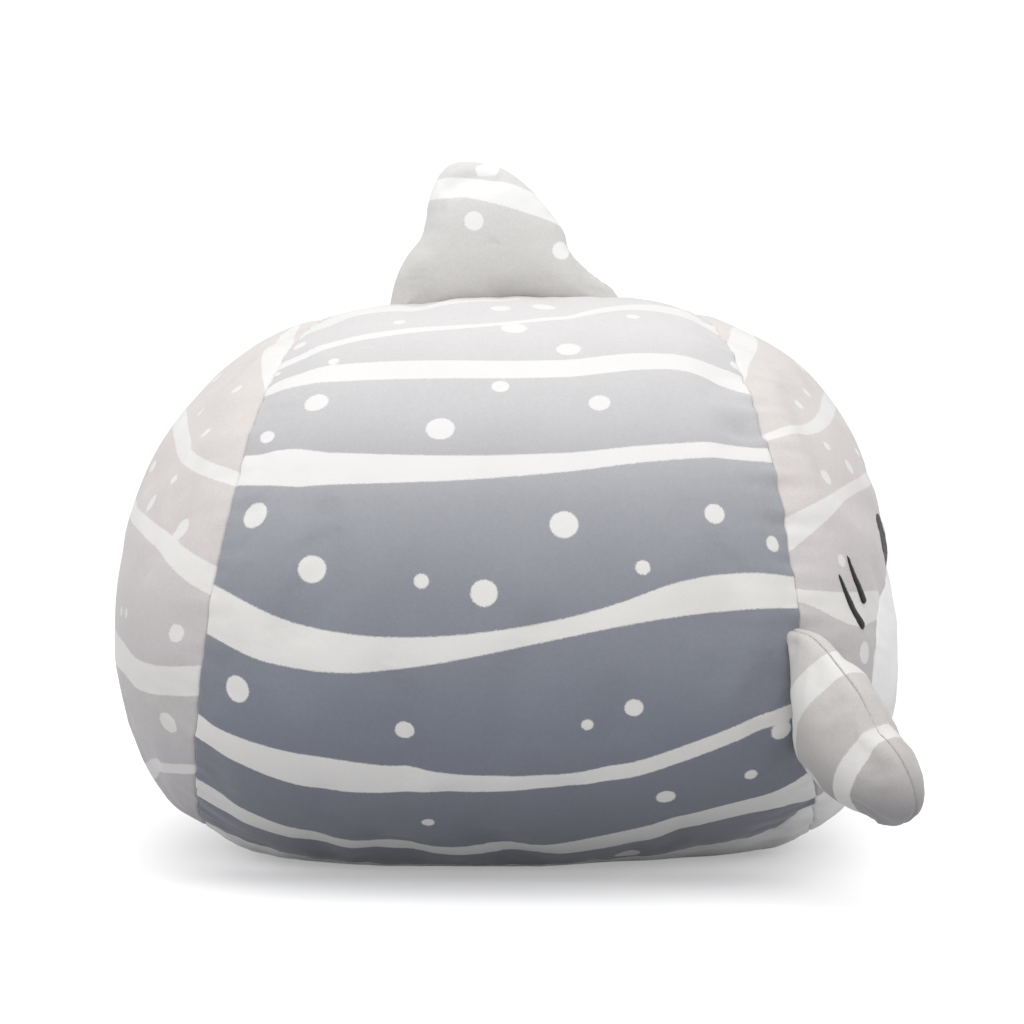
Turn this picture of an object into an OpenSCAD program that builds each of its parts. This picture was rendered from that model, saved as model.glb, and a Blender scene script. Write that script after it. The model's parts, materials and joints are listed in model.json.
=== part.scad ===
// Plush shark: a low, wide stuffed body lying on its belly, with a back fin and two side fins.
// +X is towards the nose, +Z is up. The origin is the centre of the flat face it rests on.

/* [Body] */
// Length of the body from tail end to nose
body_l = 289; // [260:1:320]
// Width of the body without its side fins
body_w = 300; // [270:1:330]
// Height of the back above the resting face
body_h = 211; // [190:1:230]
// Height of the widest part of the body
waist_h = 86; // [78:1:92]

/* [Fabric] */
// Thickness of the plush fabric on the body
fabric_t = 2; // [1.5:0.1:2.5]
// Thickness of the fabric on the fins
fin_fabric_t = 1.2; // [0.8:0.1:1.6]
// Width of the channel between two panels, where a seam runs
seam_gap = 2.4; // [2:0.1:3]
// Diameter of the seam thread
thread_d = 1.4; // [0.8:0.1:1.6]

/* [Back fin] */
// Length of the back fin along its root
back_fin_l = 84; // [74:1:94]
// Height of the back fin above its root
back_fin_h = 51; // [44:1:58]
// Thickness of the stuffed back fin
back_fin_t = 28; // [22:1:32]

/* [Side fins] */
// Length of a side fin along its root
side_fin_l = 58; // [52:1:62]
// Reach of a side fin from root to tip
side_fin_h = 66; // [58:1:74]
// Thickness of a stuffed side fin
side_fin_t = 29; // [22:1:32]
// Angle by which a side fin points forward
side_fin_sweep = 30; // [26:1:36]
// Angle by which a side fin droops below level
side_fin_droop = 18; // [12:1:22]
// Angle by which a side fin's root leans to follow the seam
side_fin_roll = 17; // [12:1:22]

/* [Face] */
// Width of an embroidered eye
eye_w = 14; // [12:1:18]
// Height of an embroidered eye
eye_h = 18.5; // [16:0.5:22]
// Half the distance between the eyes
eye_y = 60; // [54:1:66]
// Height of the eyes above the resting face
eye_z = 123; // [118:1:128]

/* [Hidden] */

// Body proportions. The keel is how far the belly would hang below the waist if nothing held it up.
half_l = body_l / 2;
half_w = body_w / 2;
crown = body_h - waist_h;
keel = 1.105 * waist_h;
// Roundness of the outline over the nose, over the tail, under the belly and from above; 2 is an ellipse.
round_nose = 2.78;
round_tail = 2.58;
round_keel = 3.3;
round_plan = 3.4;
// The belly settles this far below the resting face before it is cut flat, and blends into it softly.
settle = 2;
settle_soft = 10;

// Seams, as places along the body: on the centre line of the back, and how far on they are at the waist.
front_seam_x = 72;
front_seam_step = 31;
// The front seam bows this far forward over the cheeks.
front_seam_bow = 4;
rear_seam_x = 68;
rear_seam_step = 38;
// Girth angles: 90 is the back, 180 the right side, 270 the belly, 0 the left side.
belly_seam_u = 242;
belly_seam_left_u = 540 - belly_seam_u;
// Towards the front the belly seams rise by this angle, from this share of the way along.
belly_seam_rise = 15;
belly_seam_rise_from = 0.85;
gap_u = seam_gap / 2 / half_w * 180 / PI;

// The white muzzle is an arch on the face: its centre height, half width, rise and fall.
muzzle_z = 72;
muzzle_half_w = 102;
muzzle_rise = 41;
muzzle_fall = 60;
round_muzzle = 3.2;

stuffing_gap = 2;
stitch_proud = 0.9;
stitch_clear = 0.1;
thread_sides = 6;
panel_u_steps = 20;
panel_s_steps = 20;
ring_steps = 32;

body_grey = [0.45, 0.48, 0.54];
face_grey = [0.72, 0.70, 0.71];
fin_grey = [0.78, 0.77, 0.76];
off_white = [0.94, 0.93, 0.91];
thread_grey = [0.62, 0.63, 0.66];
black = [0.05, 0.05, 0.06];

// ---------- maths ----------
function soft_max(a, b, k) =
    let (h = min(1, max(0, 0.5 + 0.5 * (a - b) / k)))
    b * (1 - h) + a * h + k * h * (1 - h);
function mix(a, b, t) = a * (1 - t) + b * t;
function signed_pow(v, e) = sign(v) * pow(abs(v), e);
function catmull(a, b, c, d, t) =
    let (cube = 3 * b - a - 3 * c + d, square = 2 * a - 5 * b + 4 * c - d)
    0.5 * (2 * b + (c - a) * t + square * t * t + cube * t * t * t);
// A smooth open line through the points p, with n steps between each two.
function smooth_line(p, n) =
    let (last = len(p) - 1)
    [for (i = [0 : last - 1], k = [0 : n - 1])
        catmull(p[max(0, i - 1)], p[i], p[i + 1], p[min(last, i + 2)], k / n), p[last]];
function mirrored(p) = [p[0], -p[1], p[2]];

// ---------- body surface ----------
// Roundness at girth angle u, towards the nose (end = 1) or the tail (end = -1).
function roundness(u, end) =
    let (pole = sin(u) > 0 ? (end > 0 ? round_nose : round_tail) : round_keel)
    round_plan + (pole - round_plan) * pow(sin(u), 2);
// The share of the full girth that is left at place s, from -1 at the tail to 1 at the nose.
function girth(u, s) =
    let (n = roundness(u, s))
    pow(max(0, 1 - pow(abs(s), n)), 1 / n);
// A point at girth angle u and place s, sunk under the outer surface by inset.
function body_point(u, s, inset) =
    let (
        r = girth(u, s),
        depth = (sin(u) > 0 ? crown : keel) - inset,
        z = soft_max(waist_h + depth * r * sin(u), inset - settle, settle_soft)
    )
    [(half_l - inset) * s, (half_w - inset) * r * cos(u), inset > 0 ? max(z, inset) : z];

// The end view of the body as a disc: the point q of the disc lies on the nose or tail end.
function disc(u, s) = girth(u, s) * [cos(u), sin(u)];
function disc_at(y, z) = [y / half_w, (z - waist_h) / (z > waist_h ? crown : keel)];
function on_end(q, end, inset) =
    let (
        u = atan2(q[1], q[0]),
        n = roundness(u, end),
        s = end * pow(max(0, 1 - pow(norm(q), n)), 1 / n)
    )
    body_point(u, s, inset);

// Seam lines. t runs from 0 on the back to 1 at the waist and 2 on the belly.
function front_s(u, gap = 0) =
    let (bow = front_seam_bow * exp(-pow((sin(u) - 0.4) / 0.3, 2)))
    (front_seam_x + front_seam_step * pow(1 - sin(u), 0.45) + bow + gap) / half_l;
function rear_s(u, gap = 0) = -(rear_seam_x + rear_seam_step * pow(1 - sin(u), 0.4) + gap) / half_l;
// How far a belly seam has risen at the share t of its length, and the gap beside it, wider where it slants.
function rise_share(t) = max(0, t - belly_seam_rise_from) / (1 - belly_seam_rise_from);
function belly_rise(t) = let (h = rise_share(t)) belly_seam_rise * h * h * (3 - 2 * h);
function belly_gap(t) = gap_u * (1.2 + 2 * sin(180 * rise_share(t)));
// The muzzle's arch at angle a, 90 at its top, grown outwards by gap.
function arch(a, gap = 0) = disc_at(
    (muzzle_half_w + gap) * signed_pow(cos(a), 2 / round_muzzle),
    muzzle_z + ((a > 180 || a < 0 ? muzzle_fall : muzzle_rise) + gap) * signed_pow(sin(a), 2 / round_muzzle)
);
// The arch meets the front seam at this girth angle, and at these angles of its own.
muzzle_corner_u = 223;
arch_right = 212;
arch_left = -32;

// ---------- builders ----------
// A closed form from rings of equal length, with a pole point at each end. Rings turn anticlockwise
// seen from the last pole.
module ringed(rings, first_pole, last_pole) {
    n = len(rings[0]);
    last = len(rings) - 1;
    base = (last + 1) * n;
    points = [each [for (ring = rings) each ring], first_pole, last_pole];
    sides = [for (k = [0 : last - 1], i = [0 : n - 1])
        let (a = k * n + i, b = k * n + (i + 1) % n) each [[a, b + n, b], [a, a + n, b + n]]];
    ends = [for (i = [0 : n - 1])
        each [[i, (i + 1) % n, base], [last * n + (i + 1) % n, last * n + i, base + 1]]];
    polyhedron(points, concat(sides, ends));
}

// A sheet with thickness: the outer grid's rows and columns match the inner grid's.
// (row direction) x (column direction) points outwards.
module sheet(outer, inner) {
    n = len(outer) - 1;
    m = len(outer[0]) - 1;
    w = m + 1;
    under = (n + 1) * w;
    points = concat([for (row = outer) each row], [for (row = inner) each row]);
    skins = [for (i = [0 : n - 1], j = [0 : m - 1])
        let (a = i * w + j, b = a + w, c = b + 1, d = a + 1)
        each [[a, c, b], [a, d, c], [under + a, under + b, under + c], [under + a, under + c, under + d]]];
    rims_j = [for (j = [0 : m - 1])
        let (a = j, b = n * w + j)
        each [[a, under + a, a + 1], [a + 1, under + a, under + a + 1],
              [b, b + 1, under + b], [b + 1, under + b + 1, under + b]]];
    rims_i = [for (i = [0 : n - 1])
        let (a = i * w, b = i * w + m)
        each [[a, a + w, under + a], [a + w, under + a + w, under + a],
              [b, under + b, b + w], [b + w, under + b, under + b + w]]];
    polyhedron(points, concat(skins, rims_j, rims_i));
}

// One ring of a thread about point p of a line with direction t; ref is any direction across the line.
function thread_ring(p, t, ref, d) =
    let (side = cross(t, ref) / norm(cross(t, ref)), up = cross(side, t) / norm(t))
    [for (i = [0 : thread_sides - 1])
        let (a = i * 360 / thread_sides) p + d / 2 * (side * cos(a) + up * sin(a))];

// A thread along an open line of points.
module thread(line, ref, d = thread_d) {
    last = len(line) - 1;
    rings = [for (i = [0 : last])
        thread_ring(line[i], line[min(last, i + 1)] - line[max(0, i - 1)], ref, d)];
    ringed(rings, line[0], line[last]);
}

// ---------- body ----------
module body_stuffing() {
    inset = fabric_t + stuffing_gap;
    rings = [for (a = [-78 : 12 : 78])
        let (s = signed_pow(sin(a), 0.72))
        [for (i = [0 : 23]) body_point(-i * 15, s, inset)]];
    color(off_white) ringed(rings, body_point(0, -1, inset), body_point(0, 1, inset));
}

// Side panel from the top seam down to the belly seam; side is 1 on the right and -1 on the left.
function side_grid(inset, side) =
    [for (i = [0 : panel_u_steps])
        let (k = (side > 0 ? i : panel_u_steps - i) / panel_u_steps)
        [for (j = [0 : panel_s_steps])
            let (
                t = j / panel_s_steps,
                u = mix(90 + gap_u, belly_seam_u - belly_rise(t) - belly_gap(t), k),
                s = mix(rear_s(u, -seam_gap / 2), front_s(u, -seam_gap / 2), t),
                p = body_point(u, s, inset)
            )
            side > 0 ? p : mirrored(p)]];
module side_panel(side) color(body_grey) sheet(side_grid(0, side), side_grid(fabric_t, side));
module side_panel_right() side_panel(1);
module side_panel_left() side_panel(-1);

// Face panel: the band between the front seam and the muzzle's arch, a little short of where they meet.
function face_grid(inset) =
    let (columns = 34, rows = 5)
    [for (j = [0 : rows])
        [for (i = [0 : columns])
            let (
                v = i / columns,
                u = mix(muzzle_corner_u - 4, 184 - muzzle_corner_u, v),
                seam = disc(u, front_s(u, seam_gap / 2)),
                edge = arch(mix(arch_right - 5, arch_left + 5, v), seam_gap / 2)
            )
            on_end(mix(seam, edge, j / rows), 1, inset)]];
module face_panel() color(face_grey) sheet(face_grid(0), face_grid(fabric_t));

// Muzzle panel: the arch, closed by the front seam along the belly.
function muzzle_edge() = concat(
    [for (i = [0 : 24]) arch(mix(arch_left, arch_right, i / 24), -seam_gap / 2)],
    [for (i = [0 : 6])
        let (u = mix(muzzle_corner_u + 2, 538 - muzzle_corner_u, i / 6)) disc(u, front_s(u, seam_gap / 2))]
);
function domes(edge, centre, steps, end, inset) =
    [for (k = steps) [for (q = edge) on_end(mix(centre, q, k), end, inset)]];
module end_panel(edge, centre, end, steps, inset_out, inset_in) {
    outer = domes(edge, centre, steps, end, inset_out);
    inner = domes(edge, centre, [for (i = [len(steps) - 1 : -1 : 0]) steps[i]], end, inset_in);
    ringed(concat(outer, inner), on_end(centre, end, inset_out), on_end(centre, end, inset_in));
}
module muzzle_panel() color(off_white)
    end_panel(muzzle_edge(), disc_at(0, 62), 1, [0.25, 0.5, 0.75, 0.9, 1], 0, fabric_t);

// Rear panel: the whole tail end behind the rear seam.
module rear_panel() {
    edge = [for (i = [0 : ring_steps - 1])
        let (u = 90 - i * 360 / ring_steps) disc(u, rear_s(u, seam_gap / 2))];
    color(face_grey) end_panel(edge, [0, 0], -1, [0.25, 0.5, 0.75, 0.9, 1], 0, fabric_t);
}

// Belly panel, cut flat where the shark rests.
function belly_grid(inset) =
    let (rows = 8)
    [for (i = [0 : rows])
        [for (j = [0 : panel_s_steps])
            let (
                t = j / panel_s_steps,
                edge = belly_seam_u - belly_rise(t) + belly_gap(t),
                u = mix(edge, 540 - edge, i / rows)
            )
            body_point(u, mix(rear_s(u, -seam_gap / 2), front_s(u, -seam_gap / 2), t), inset)]];
module belly_panel() color(off_white) intersection() {
    sheet(belly_grid(0), belly_grid(fabric_t));
    translate([-half_l, -half_w, 0]) cube([body_l, body_w, waist_h]);
}

// ---------- body seams ----------
seam_inset = fabric_t / 2;
function front_ring(u) = body_point(u, front_s(u), seam_inset);
function rear_ring(u) = body_point(u, rear_s(u), seam_inset);
// A seam along the body that starts at girth angle u and rises by a share of the belly seams' rise.
// Its thread stops short of the cross seams at both ends.
function body_line(u, short, share = 0) =
    let (cut = short / 220)
    [for (i = [0 : panel_s_steps])
        let (t = max(cut, min(1 - cut, i / panel_s_steps)), v = u + share * belly_rise(t))
        body_point(v, mix(rear_s(v, -seam_gap / 2), front_s(v, -seam_gap / 2), t), seam_inset)];
module top_seam_thread() color(thread_grey) thread(body_line(90, 3), [0, 0, 1]);
module front_seam_thread() color(thread_grey)
    thread([for (i = [0 : 42]) front_ring(mix(-268, 88, i / 42))], [1, 0, 0]);
module rear_seam_thread() color(thread_grey)
    thread([for (i = [0 : 42]) rear_ring(mix(-268, 88, i / 42))], [1, 0, 0]);
function arch_ring(a) = on_end(arch(a), 1, seam_inset);
module muzzle_seam_thread() color(thread_grey)
    thread([for (i = [0 : 30]) arch_ring(mix(arch_left + 3, arch_right - 3, i / 30))], [1, 0, 0]);
module belly_seam_thread_right() color(thread_grey) thread(body_line(belly_seam_u, 9, -1), [0, 0, 1]);
module belly_seam_thread_left() color(thread_grey) thread(body_line(belly_seam_left_u, 9, 1), [0, 0, 1]);

// Hand stitches that close the opening where the stuffing went in, across the left belly seam.
module closing_stitches() color(off_white)
    for (x = [-60 : 6 : -30])
        thread([for (u = [-2 : 1 : 2]) body_point(belly_seam_left_u + u, x / half_l, -0.6)], [1, 0, 0], 0.8);

// ---------- embroidery ----------
function ellipse_at(y, z, w, h) =
    [for (a = [0 : 18 : 342]) disc_at(y + w / 2 * cos(a), z + h / 2 * sin(a))];
module satin_spot(y, z, w, h, lift) end_panel(
    ellipse_at(y, z, w, h), disc_at(y, z), 1, [0.5, 0.9, 1], -lift - stitch_proud, -lift - stitch_clear);
module eye_right() color(black) satin_spot(-eye_y, eye_z, eye_w, eye_h, 0);
module eye_left() color(black) satin_spot(eye_y, eye_z, eye_w, eye_h, 0);
module eye_highlights() color(off_white)
    for (side = [-1, 1]) satin_spot(side * (eye_y - 1.5), eye_z + 4, 4, 5, stitch_proud);

// A stitched stroke over the face points p, thin at its start and thick at its end.
module stroke(p, thin, thick) {
    last = len(p) - 1;
    sizes = [for (i = [0 : last]) mix(thin, thick, i / last)];
    line = [for (i = [0 : last]) on_face(p[i][0], p[i][1], sizes[i])];
    rings = [for (i = [0 : last])
        thread_ring(line[i], line[min(last, i + 1)] - line[max(0, i - 1)], [1, 0, 0], sizes[i])];
    ringed(rings, line[0], line[last]);
}
// The centre of a strand of diameter d that lies on the face.
function on_face(y, z, d) = on_end(disc_at(y, z), 1, -d / 2 - stitch_clear);
mouth_d = 1.8;
module mouth_stitch() color(black)
    thread([for (i = [-8 : 8]) on_face(i * 4, 84 + 8 * pow(i / 8, 2), mouth_d)], [1, 0, 0], mouth_d);
// Two gill slits, each falling forward and down.
gill_lines = [[[117, 113], [118, 104], [113.5, 94]], [[110.5, 119], [110.5, 111], [107.5, 101]]];
module gill_stitches(side) color(black)
    for (line = gill_lines)
        stroke([for (p = smooth_line(line, 4)) [-side * p[0], p[1]]], 0.9, 2.2);
module gill_stitches_right() gill_stitches(1);
module gill_stitches_left() gill_stitches(-1);

// ---------- fins ----------
// Outlines as [along the root, out from the root], in shares of the fin's length and reach.
// The root edge is straight, and the line goes from the trailing root corner over the tip to the leading one.
back_fin_line = [
    [-0.5, 0.03], [-0.42, 0.3], [-0.35, 0.47], [-0.315, 0.74], [-0.245, 0.95], [-0.14, 1],
    [-0.01, 0.96], [0.18, 0.71], [0.29, 0.47], [0.345, 0.3], [0.5, 0.03]
];
side_fin_line = [
    [-0.47, 0.03], [-0.5, 0.16], [-0.53, 0.42], [-0.52, 0.66], [-0.44, 0.87], [-0.28, 0.985],
    [-0.12, 0.97], [0.01, 0.88], [0.09, 0.75], [0.14, 0.62], [0.31, 0.42], [0.5, 0.03]
];
root_steps = 5;
function fin_edge(line, l, h) =
    [for (p = smooth_line(line, 2)) [p[0] * l, p[1] * h]];
function fin_outline(line, l, h) =
    let (edge = fin_edge(line, l, h), a = edge[len(edge) - 1], b = edge[0])
    concat(edge, [for (i = [1 : root_steps]) mix(a, b, i / (root_steps + 1))]);
// A fin's place: its root centre, its direction along the root, out of the root, and across its thickness.
function placed(frame, p, across) = frame[0] + p[0] * frame[1] + p[1] * frame[2] + across * frame[3];
function centre_of(line) = [for (k = [0, 1]) [for (p = line) p[k]] * [for (p = line) 1] / len(line)];
function fin_rings(frame, line, centre, steps, side, low, rise) =
    [for (k = steps)
        [for (p = line) placed(frame, mix(centre, p, k), side * (low + rise * sqrt(1 - k * k)))]];
fin_steps = [0.3, 0.6, 0.82, 0.95, 1];
fin_parting = 0.3;

// One fabric face of a fin: a dome on one side of the fin's middle plane.
module fin_face(frame, line, t, side) {
    trimmed = [for (p = line) mix(centre_of(line), p, 0.98)];
    centre = centre_of(line);
    back = [for (i = [len(fin_steps) - 1 : -1 : 0]) fin_steps[i]];
    rise = t / 2 - fin_fabric_t - fin_parting;
    outer = fin_rings(frame, trimmed, centre, fin_steps, side, fin_parting + fin_fabric_t, rise);
    inner = fin_rings(frame, trimmed, centre, back, side, fin_parting, rise);
    top = placed(frame, centre, side * t / 2);
    bottom = placed(frame, centre, side * (t / 2 - fin_fabric_t));
    color(fin_grey)
        if (turns_right(frame) * side > 0) ringed(concat(outer, inner), top, bottom);
        else ringed(flipped(concat(outer, inner)), top, bottom);
}
function flipped(rings) = [for (r = rings) [for (i = [len(r) - 1 : -1 : 0]) r[i]]];
function turns_right(frame) = cross(frame[1], frame[2]) * frame[3] > 0 ? 1 : -1;

module fin_stuffing(frame, line, t) {
    centre = centre_of(line);
    slim = [for (p = line) mix(centre, p, 0.92)];
    rise = t / 2 - fin_fabric_t - 2 * fin_parting;
    up = [0.3, 0.6, 0.85, 0.97];
    down = [for (i = [3 : -1 : 0]) up[i]];
    upper = fin_rings(frame, slim, centre, up, 1, 0, rise);
    lower = fin_rings(frame, slim, centre, down, -1, 0, rise);
    rings = concat(upper, lower);
    tops = [placed(frame, centre, rise), placed(frame, centre, -rise)];
    color(off_white)
        if (turns_right(frame) > 0) ringed(rings, tops[0], tops[1]);
        else ringed(flipped(rings), tops[0], tops[1]);
}
module fin_edge_seam(frame, edge, centre) color(thread_grey)
    thread([for (p = edge) placed(frame, mix(centre, p, 1.012), 0)], frame[3], 1);

// The back fin stands on the top seam, a little clear of it, and leans about its root.
back_fin_root = [-2, 0, body_h + 1.2];
back_frame = [back_fin_root, [1, 0, 0], [0, 0, 1], [0, -1, 0]];
back_outline = fin_outline(back_fin_line, back_fin_l, back_fin_h);
back_edge = fin_edge(back_fin_line, back_fin_l, back_fin_h);
module dorsal_fin_right_face() fin_face(back_frame, back_outline, back_fin_t, 1);
module dorsal_fin_left_face() fin_face(back_frame, back_outline, back_fin_t, -1);
module dorsal_fin_stuffing() fin_stuffing(back_frame, back_outline, back_fin_t);
module dorsal_fin_edge_seam() fin_edge_seam(back_frame, back_edge, centre_of(back_outline));

// A side fin is sewn into the front seam below the waist, and flaps about its root.
side_fin_u = 190;
side_fin_stand = 2.4;
side_out = [
    cos(side_fin_droop) * sin(side_fin_sweep),
    -cos(side_fin_droop) * cos(side_fin_sweep),
    -sin(side_fin_droop)
];
side_level = [
    sin(side_fin_droop) * sin(side_fin_sweep), -sin(side_fin_droop) * cos(side_fin_sweep), cos(side_fin_droop)
];
side_along = side_level * cos(side_fin_roll) - cross(side_level, side_out) * sin(side_fin_roll);
side_across = cross(side_along, side_out);
side_root = body_point(side_fin_u, front_s(side_fin_u), 0) + side_fin_stand * side_out;
right_frame = [side_root, side_along, side_out, side_across];
left_frame = [mirrored(side_root), mirrored(side_along), mirrored(side_out), mirrored(side_across)];
side_outline = fin_outline(side_fin_line, side_fin_l, side_fin_h);
side_edge = fin_edge(side_fin_line, side_fin_l, side_fin_h);
module pectoral_fin_right_front_face() fin_face(right_frame, side_outline, side_fin_t, 1);
module pectoral_fin_right_rear_face() fin_face(right_frame, side_outline, side_fin_t, -1);
module pectoral_fin_right_stuffing() fin_stuffing(right_frame, side_outline, side_fin_t);
module pectoral_fin_right_edge_seam() fin_edge_seam(right_frame, side_edge, centre_of(side_outline));
module pectoral_fin_left_front_face() fin_face(left_frame, side_outline, side_fin_t, 1);
module pectoral_fin_left_rear_face() fin_face(left_frame, side_outline, side_fin_t, -1);
module pectoral_fin_left_stuffing() fin_stuffing(left_frame, side_outline, side_fin_t);
module pectoral_fin_left_edge_seam() fin_edge_seam(left_frame, side_edge, centre_of(side_outline));

body_stuffing();
side_panel_right();
side_panel_left();
face_panel();
muzzle_panel();
rear_panel();
belly_panel();
top_seam_thread();
front_seam_thread();
rear_seam_thread();
muzzle_seam_thread();
belly_seam_thread_right();
belly_seam_thread_left();
closing_stitches();
eye_right();
eye_left();
eye_highlights();
mouth_stitch();
gill_stitches_right();
gill_stitches_left();
dorsal_fin_right_face();
dorsal_fin_left_face();
dorsal_fin_stuffing();
dorsal_fin_edge_seam();
pectoral_fin_right_front_face();
pectoral_fin_right_rear_face();
pectoral_fin_right_stuffing();
pectoral_fin_right_edge_seam();
pectoral_fin_left_front_face();
pectoral_fin_left_rear_face();
pectoral_fin_left_stuffing();
pectoral_fin_left_edge_seam();
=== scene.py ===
"""Looks of the plush shark: printed plush panels, stuffed fins, embroidery, studio.

All shapes are worked out in millimetres and stored in metres. +X is towards the nose.
Girth angle u: 90 on the back, 180 on the right side, 270 on the belly. Place s: -1 tail, 1 nose.
"""
import json
import math

import bpy
import numpy as np
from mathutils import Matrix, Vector
from mathutils.kdtree import KDTree


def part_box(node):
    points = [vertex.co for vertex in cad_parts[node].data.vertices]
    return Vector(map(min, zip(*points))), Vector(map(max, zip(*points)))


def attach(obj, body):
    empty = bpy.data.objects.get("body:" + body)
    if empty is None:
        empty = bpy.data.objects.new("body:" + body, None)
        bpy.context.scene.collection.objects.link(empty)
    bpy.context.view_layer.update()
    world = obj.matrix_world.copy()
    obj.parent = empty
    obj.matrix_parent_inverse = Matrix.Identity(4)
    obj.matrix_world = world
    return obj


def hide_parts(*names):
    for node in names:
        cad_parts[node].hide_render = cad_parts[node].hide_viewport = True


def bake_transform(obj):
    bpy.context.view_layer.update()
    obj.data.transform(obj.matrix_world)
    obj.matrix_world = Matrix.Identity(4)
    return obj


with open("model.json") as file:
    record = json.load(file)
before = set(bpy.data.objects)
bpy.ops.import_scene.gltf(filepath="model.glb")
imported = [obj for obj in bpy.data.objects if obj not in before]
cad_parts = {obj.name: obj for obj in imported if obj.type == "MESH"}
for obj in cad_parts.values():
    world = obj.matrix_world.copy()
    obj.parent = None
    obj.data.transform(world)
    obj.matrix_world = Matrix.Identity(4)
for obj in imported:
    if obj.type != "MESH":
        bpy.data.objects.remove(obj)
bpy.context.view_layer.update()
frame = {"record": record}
MM = 0.001


def corner(node, side):
    """Lowest (0) or highest (1) corner of a CAD node, in millimetres."""
    return np.array(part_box(node)[side]) / MM


# ---------- body surface ----------
# The CAD model's form, but the belly lies flat over a little less and its seams turn up a little later.
HALF_L = -corner("rear_panel", 0)[0]
HALF_W = corner("side_panel_left", 1)[1]
BODY_H = corner("side_panel_right", 1)[2]
WAIST = 86.0
CROWN = BODY_H - WAIST
KEEL = 1.105 * WAIST
ROUND_NOSE, ROUND_TAIL, ROUND_KEEL, ROUND_PLAN = 2.78, 2.58, 3.3, 3.4
SETTLE, SETTLE_SOFT = 1.6, 10.0
BELLY_SEAM, BELLY_RISE, RISE_FROM = 242.0, 15.0, 0.91
FRONT_X, FRONT_STEP, FRONT_BOW = 72.0, 31.0, 4.0
REAR_X, REAR_STEP = 68.0, 38.0
MUZZLE_Z, MUZZLE_HALF_W, MUZZLE_RISE, MUZZLE_FALL, ROUND_MUZZLE = 72.0, 102.0, 41.0, 60.0, 3.2
ARCH_RIGHT, ARCH_LEFT, MUZZLE_CORNER = 212.0, -32.0, 223.0


def sin_d(a):
    return np.sin(np.radians(a))


def cos_d(a):
    return np.cos(np.radians(a))


def soft_max(a, b, k):
    h = np.clip(0.5 + 0.5 * (a - b) / k, 0, 1)
    return b * (1 - h) + a * h + k * h * (1 - h)


def signed_pow(v, e):
    return np.sign(v) * np.abs(v) ** e


def mix(a, b, t):
    return a * (1 - t) + b * t


def smooth_step(v):
    v = np.clip(v, 0, 1)
    return v * v * (3 - 2 * v)


def roundness(u, end):
    pole = np.where(sin_d(u) > 0, np.where(np.asarray(end) > 0, ROUND_NOSE, ROUND_TAIL), ROUND_KEEL)
    return ROUND_PLAN + (pole - ROUND_PLAN) * sin_d(u) ** 2


def girth(u, s):
    n = roundness(u, s)
    return np.clip(1 - np.abs(s) ** n, 0, 1) ** (1 / n)


def body_point(u, s, inset=0.0):
    """Points of the body's smooth outer form, sunk by inset."""
    u, s = np.broadcast_arrays(np.asarray(u, float), np.asarray(s, float))
    r = girth(u, s)
    depth = np.where(sin_d(u) > 0, CROWN, KEEL) - inset
    z = soft_max(WAIST + depth * r * sin_d(u), inset - SETTLE, SETTLE_SOFT)
    z = np.maximum(z, inset)
    return np.stack([(HALF_L - inset) * s, (HALF_W - inset) * r * cos_d(u), z], -1)


def front_s(u):
    bow = FRONT_BOW * np.exp(-((sin_d(u) - 0.4) / 0.3) ** 2)
    return (FRONT_X + FRONT_STEP * (1 - sin_d(u)) ** 0.45 + bow) / HALF_L


def rear_s(u):
    return -(REAR_X + REAR_STEP * (1 - sin_d(u)) ** 0.4) / HALF_L


def belly_edge(t):
    """Girth angle of the right belly seam at the share t of its length."""
    return BELLY_SEAM - BELLY_RISE * smooth_step((t - RISE_FROM) / (1 - RISE_FROM))


def along_body(u, t):
    """Points at girth angle u, the share t of the way from the rear seam to the front seam."""
    return body_point(u, mix(rear_s(u), front_s(u), t))


def disc(u, s):
    """The body seen end on, as a unit disc."""
    return girth(u, s)[..., None] * np.stack([cos_d(u), sin_d(u)], -1)


def disc_at(y, z):
    y, z = np.broadcast_arrays(np.asarray(y, float), np.asarray(z, float))
    return np.stack([y / HALF_W, (z - WAIST) / np.where(z > WAIST, CROWN, KEEL)], -1)


def on_end(q, end):
    """Points on the tail end (-1) or the nose end (1), from their places on the disc."""
    u = np.degrees(np.arctan2(q[..., 1], q[..., 0]))
    n = roundness(u, end)
    s = end * np.clip(1 - np.hypot(q[..., 0], q[..., 1]) ** n, 0, 1) ** (1 / n)
    return body_point(u, s)


def arch(a):
    """The muzzle's edge on the disc, at angles round its middle."""
    half_h = np.where((a > 180) | (a < 0), MUZZLE_FALL, MUZZLE_RISE)
    return disc_at(
        MUZZLE_HALF_W * signed_pow(cos_d(a), 2 / ROUND_MUZZLE),
        MUZZLE_Z + half_h * signed_pow(sin_d(a), 2 / ROUND_MUZZLE),
    )


# ---------- seams and the way they pull the fabric ----------
def resample(line, step):
    """The same line with points a fixed step apart, measured over its first three columns."""
    line = np.asarray(line, float)
    run = np.concatenate([[0], np.cumsum(np.linalg.norm(np.diff(line[:, :3], axis=0), axis=1))])
    t = np.linspace(0, run[-1], max(2, int(run[-1] / step) + 1))
    return np.stack([np.interp(t, run, line[:, k]) for k in range(line.shape[1])], -1)


def seam_lines():
    turn = np.linspace(-270, 90, 721)
    along = np.linspace(0, 1, 200)
    return {
        "front": body_point(turn, front_s(turn)),
        "rear": body_point(turn, rear_s(turn)),
        "top": along_body(90, along),
        "belly_right": along_body(belly_edge(along), along),
        "belly_left": along_body(180 - belly_edge(along), along),
        "muzzle": on_end(arch(np.linspace(ARCH_LEFT, ARCH_RIGHT, 400)), 1),
    }


SEAMS = {name: resample(line, 1.0) for name, line in seam_lines().items()}


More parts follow.
